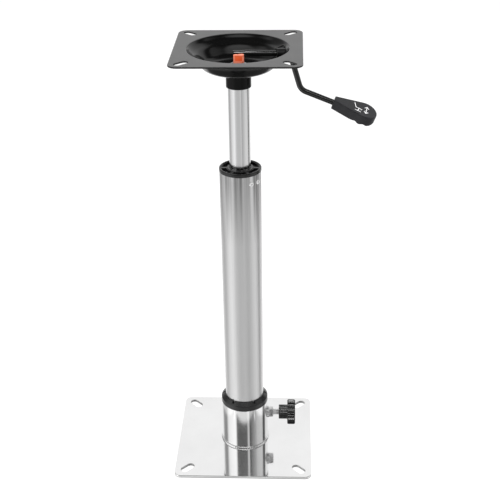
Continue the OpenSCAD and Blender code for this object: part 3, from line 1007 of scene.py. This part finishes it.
def lever_rod():
    """The bent rod, whose tip is pressed flat where it lies on the valve pin."""
    tip = OVER_PIN - 0.007 * ROD_DIR
    ahead = PADDLE_TURN @ Vector((1, 0, 0))
    start = [tip, tip + ROD_DIR * 0.4 * MM, tip + ROD_DIR * 1.0 * MM, tip + ROD_DIR * 12 * MM,
             tip + ROD_DIR * 17 * MM]
    path = (start + bend(OVER_PIN, BEND_OUT, BEND_LOW, 9 * MM, 14)
            + bend(BEND_OUT, BEND_LOW, PADDLE_START, 15 * MM, 14)
            + [PADDLE_START - ahead * 1 * MM, PADDLE_START + ahead * 24 * MM])

    trims = {0: (0.7, 1.6), 1: (0.2, 1.1), 2: (0, 0.8), 3: (0, 0.8)}

    def shape(i):
        wide, high = trims.get(i, (0, 0))
        return LEVER_R - wide * MM, LEVER_R - high * MM

    mesh = tube_mesh("lever_rod_bar", path, LEVER_R, 40, shape)
    link("lever_rod_bar", mesh, "rod", "lever", ["lever_rod"])


def lever_grommet():
    radius, bore, length = 7 * MM, LEVER_R + 0.5 * MM, 13 * MM
    outline = filleted([(bore, 0, 1.2), (radius, 0, 1.2), (radius, length, 1.2),
                        (bore, length, 1.2)], steps=6)
    mesh = lathe_mesh("lever_grommet_ring", outline, 72)
    mesh.transform(along(WALL - length / 2 * ROD_DIR, ROD_DIR))
    link("lever_grommet_ring", mesh, "rim", "seat_mount", ["lever_grommet"])


PADDLE_THICK = 15 * MM


def paddle_top(x):
    """Height of the paddle's top face, which falls away a little towards its end."""
    return PADDLE_THICK / 2 - 0.9 * MM * max(0.0, (x - 40 * MM) / (23 * MM)) ** 2


def paddle():
    """The moulded hand paddle: flat on top, with two finger scallops underneath."""
    length, start_half, end_r, thick = 63 * MM, 6.5 * MM, 18 * MM, PADDLE_THICK
    middle = length - end_r
    lean = asin((end_r - start_half) / middle * 0.96)
    outline = []
    turns = 26
    for k in range(turns + 1):
        a = -(pi / 2 + lean * 0.9) + (pi + 2 * lean * 0.9) * k / turns
        outline.append(Vector((middle, 0)) + polar(end_r, a))
    left, right = outline[-1], outline[0]
    corner = 1.6 * MM
    steps, side_steps = 6, 9
    outline += [left.lerp(Vector((corner, start_half)), k / side_steps)
                for k in range(1, side_steps)]
    for side, first in ((1, pi / 2), (-1, pi)):
        for k in range(steps + 1):
            a = first + pi / 2 * k / steps
            outline.append(Vector((corner, side * (start_half - corner))) + polar(corner, a))
    outline += [Vector((corner, -start_half)).lerp(right, k / side_steps)
                for k in range(1, side_steps)]

    def scallop(x):
        lift = 0.0
        for centre in (36 * MM, 48.5 * MM):
            away = (x - centre) / (5.6 * MM)
            if abs(away) < 1:
                lift += 1.9 * MM * (0.5 + 0.5 * cos(pi * away))
        tail = max(0.0, (x - 55 * MM) / (8 * MM))
        return lift + 1.6 * MM * tail ** 2

    spots = []
    step = 1.6 * MM
    clear = [q * 0.9 + Vector((0.1 * middle, 0)) for q in outline]
    for i in range(int(length / step)):
        for j in range(-12, 13):
            p = Vector((i * step + 0.9 * MM, j * step))
            if inside(p, clear):
                spots.append(p)
    bm = plate_parts(outline, [], lambda x, y: scallop(x) - thick / 2,
                     lambda x, y: paddle_top(x), 1.3 * MM, extra=spots, walls=6)
    mesh = from_bmesh("lever_paddle_grip", bm)
    mesh.transform(PADDLE_PLACE)
    link("lever_paddle_grip", mesh, "paddle", "lever", ["lever_paddle"],
         sharp=50)


def paddle_mark():
    """A plain seat-height symbol, printed on the paddle's top face: a seat and an up-down arrow."""
    strokes = [
        ((28.5, 8.0), (31.5, -1.5)), ((31.5, -1.5), (40.5, -3.0)), ((36.2, -2.6), (35.4, -8.0)),
        ((31.6, -8.4), (39.4, -9.0)),
        ((47.0, -8.0), (47.0, 8.0)), ((44.2, 4.6), (47.0, 8.0)), ((49.8, 4.6), (47.0, 8.0)),
        ((44.2, -4.6), (47.0, -8.0)), ((49.8, -4.6), (47.0, -8.0)),
    ]
    half_width, height = 0.65 * MM, 0.14 * MM
    bars = []
    for a, b in strokes:
        a, b = Vector(a) * MM, Vector(b) * MM
        run = (b - a).normalized()
        side = Vector((-run.y, run.x)) * half_width
        a, b = a - run * half_width * 0.8, b + run * half_width * 0.8
        corners = (a - side, b - side, b + side, a + side)
        bars.append(prism("bar", [(p.x, p.y, paddle_top(p.x) - 0.2 * MM) for p in corners],
                          [(p.x, p.y, paddle_top(p.x) + height) for p in corners]))
    mesh = join_meshes("paddle_seat_mark", bars)
    mesh.transform(PADDLE_PLACE)
    link("paddle_seat_mark", mesh, "mark", "lever")


# --- pieces kept from CAD

KEPT = {
    "bright_zinc": ["clamp_nut"], "column": ["spacer_tube"], "hub": ["gas_cylinder"],
    "brass": ["pressure_pad", "bearing_cage"], "rubber": ["rubber_bumper", "rod_seal"],
    "bushing": ["lower_guide", "bottom_plug"],
    "zinc": ["anchor_disc", "rod_clip", "gas_piston", "rod_guide", "valve_body"],
    "chrome": ["bearing_washer", "bearing_balls", "rod_washer", "piston_rod", "valve_pin",
               "lever_pivot"],
}


def dress_cad_nodes():
    for name, key in [(name, key) for key, names in KEPT.items() for name in names]:
        piece = frame["nodes"][name]
        piece.data.materials.clear()
        piece.data.materials.append(MAT[key])
        if name != "bearing_balls":
            edge = piece.modifiers.new("edges", "BEVEL")
            edge.width, edge.segments = 0.25 * MM, 2
            edge.limit_method, edge.angle_limit = "ANGLE", radians(40)


# --- studio and camera

# Brightness of the surroundings round the compass, as reflections see it. 0 is the camera's
# side (-Y) and +90 is +X. Each row is degrees, level above the horizon, level below it.
STUDIO = (
    (-180, 0.96, 1.05), (-146, 1.00, 1.00), (-128, 0.34, 0.52), (-104, 0.30, 0.48),
    (-92, 1.00, 0.74), (-60, 1.20, 1.02), (-46, 1.20, 1.04), (-38, 0.15, 0.74), (-20, 0.10, 0.60),
    (12, 0.11, 0.58), (17, 0.60, 0.70), (22, 0.60, 0.70), (27, 0.05, 0.42), (36, 0.18, 0.50),
    (56, 0.40, 0.66), (70, 0.62, 0.76), (100, 0.66, 0.74), (108, 0.05, 0.14), (119, 0.05, 0.14),
    (130, 0.90, 0.85), (180, 0.96, 1.05),
)


def studio():
    """The camera sees a plain pale backdrop. Reflections see the levels above, and a dark
    ceiling with one bright strip."""
    world = bpy.data.worlds.new("studio")
    bpy.context.scene.world = world
    world.use_nodes = True
    tree = world.node_tree
    tree.nodes.clear()
    join = tree.links.new

    def add(kind, *joins, **values):
        """A node, with values on its named sockets and links into its numbered ones."""
        node = tree.nodes.new("ShaderNode" + kind)
        for key, value in values.items():
            node.inputs[key.replace("_", " ")].default_value = value
        for number, source in joins:
            join(source, node.inputs[number])
        return node

    split = add("SeparateXYZ", (0, add("TexCoord").outputs["Generated"]))
    flip = add("Math", (0, split.outputs["Y"]))
    flip.operation = "MULTIPLY"
    flip.inputs[1].default_value = -1
    compass = add("Math", (0, split.outputs["X"]), (1, flip.outputs[0]))
    compass.operation = "ARCTAN2"
    share = add("MapRange", (0, compass.outputs[0]), From_Min=-pi, From_Max=pi)

    def band(column, gain=1.0):
        ramp = add("ValToRGB", (0, share.outputs["Result"]))
        elements = ramp.color_ramp.elements
        while len(elements) < len(STUDIO):
            elements.new(0.5)
        for element, row in zip(elements, STUDIO):
            level = row[column] * gain / 2
            element.position, element.color = (row[0] + 180) / 360, (level, level, level, 1)
        return ramp.outputs["Color"]

    def rise(start, end, axis="Z"):
        node = add("MapRange", (0, split.outputs[axis]), From_Min=start, From_Max=end)
        node.interpolation_type = "SMOOTHSTEP"
        return node.outputs["Result"]

    def mix(share_out, low, high):
        node = add("Mix")
        node.data_type = "RGBA"
        join(share_out, node.inputs[0])
        for value, socket in ((low, node.inputs[6]), (high, node.inputs[7])):
            if isinstance(value, float):
                socket.default_value = (value, value, value, 1)
            else:
                join(value, socket)
        return node.outputs[2]

    steep = mix(rise(-0.60, -0.42), band(2, 1.42), band(2))
    below = mix(rise(-0.72, -0.63), 0.10, steep)
    sides = mix(rise(-0.35, 0.1), below, band(1))
    overhead = mix(rise(-0.46, -0.32, "Y"), 0.9, 0.015)
    overhead = mix(rise(0.45, 0.60, "Y"), overhead, 0.05)
    sky = add("Background", (0, mix(rise(0.66, 0.84), sides, overhead)), Strength=2.0)
    plain = add("Background", Color=(1, 1, 1, 1), Strength=1.05)
    choose = add("MixShader", (0, add("LightPath").outputs["Is Camera Ray"]),
                 (1, sky.outputs[0]), (2, plain.outputs[0]))
    add("OutputWorld", (0, choose.outputs[0]))


def area_light(name, place, target, size, power):
    data = bpy.data.lights.new(name, "AREA")
    data.shape = "RECTANGLE"
    data.size, data.size_y = size
    data.energy = power
    light = bpy.data.objects.new(name, data)
    light.location = place
    light.rotation_euler = (Vector(place) - Vector(target)).to_track_quat("Z", "Y").to_euler()
    light.visible_glossy = False
    bpy.context.scene.collection.objects.link(light)
    return light


def lights():
    """Three softboxes, and a small one in front that lights only the pieces named here."""
    accent = area_light("front_accent", (0.1, -0.62, 1.62), (0.08, 0, 0.3), (0.5, 0.30), 9)
    accent.visible_glossy = True
    lit = bpy.data.collections.new("accent_lit")
    for name in ("clamp_knob_grip", "clamp_screw_thread", "lever_rod_bar", "seat_hub",
                 "release_clip_body", "release_clip_panel"):
        lit.objects.link(bpy.data.objects[name])
    accent.light_linking.receiver_collection = lit
    for name, place, size, power in (("left_softbox", (-1.3, -0.9, 1.3), (0.9, 1.4), 14),
                                     ("top_softbox", (0.2, 0.5, 2.2), (1.6, 1.2), 22),
                                     ("right_softbox", (1.5, -0.2, 1.1), (0.7, 1.2), 9)):
        area_light(name, place, (0, 0, 0.35), size, power)


def floor():
    s = 30.0
    data = mesh_from("floor", [(-s, -s, 0), (s, -s, 0), (s, s, 0), (-s, s, 0)], [(0, 1, 2, 3)])
    plane = bpy.data.objects.new("floor", data)
    plane.location.z = -0.2 * MM
    m = Nodes("pale_floor")
    m.set(Base_Color=(0.30, 0.30, 0.30, 1), Roughness=0.9, Specular_IOR_Level=0.0)
    m.set(Emission_Color=(1, 1, 1, 1), Emission_Strength=0.86)
    data.materials.append(m.material)
    bpy.context.scene.collection.objects.link(plane)
    plane.visible_glossy = False


CAMERA = Vector((0.0786, -1.4288, 1.0711))
LOOKS_DOWN = 26.96               # degrees below level
LOOKS_LEFT = 2.66                # degrees off the +Y direction
ROLL = -0.90
FOCAL_WIDTHS = 2.1481            # focal length in picture widths
SENSOR = 36.0


def camera():
    data = bpy.data.cameras.new("camera")
    data.sensor_width = SENSOR
    data.lens = FOCAL_WIDTHS * SENSOR
    data.clip_start, data.clip_end = 0.05, 100
    cam = bpy.data.objects.new("camera", data)
    cam.matrix_world = (Matrix.Translation(CAMERA)
                        @ Matrix.Rotation(radians(LOOKS_LEFT), 4, "Z")
                        @ Matrix.Rotation(radians(90 - LOOKS_DOWN), 4, "X")
                        @ Matrix.Rotation(radians(ROLL), 4, "Z"))
    bpy.context.scene.collection.objects.link(cam)
    bpy.context.scene.camera = cam


for build in (camera, floor_plate, socket_tube, foot_weld, socket_bushing, clamp_boss, clamp_screw,
              clamp_knob, column, top_bushing, rivets, post, hub, seat_plate, release_clip,
              lever_rod, lever_grommet, paddle, paddle_mark, dress_cad_nodes, studio, lights,
              floor):
    build()
bpy.context.scene.view_settings.view_transform = "Standard"
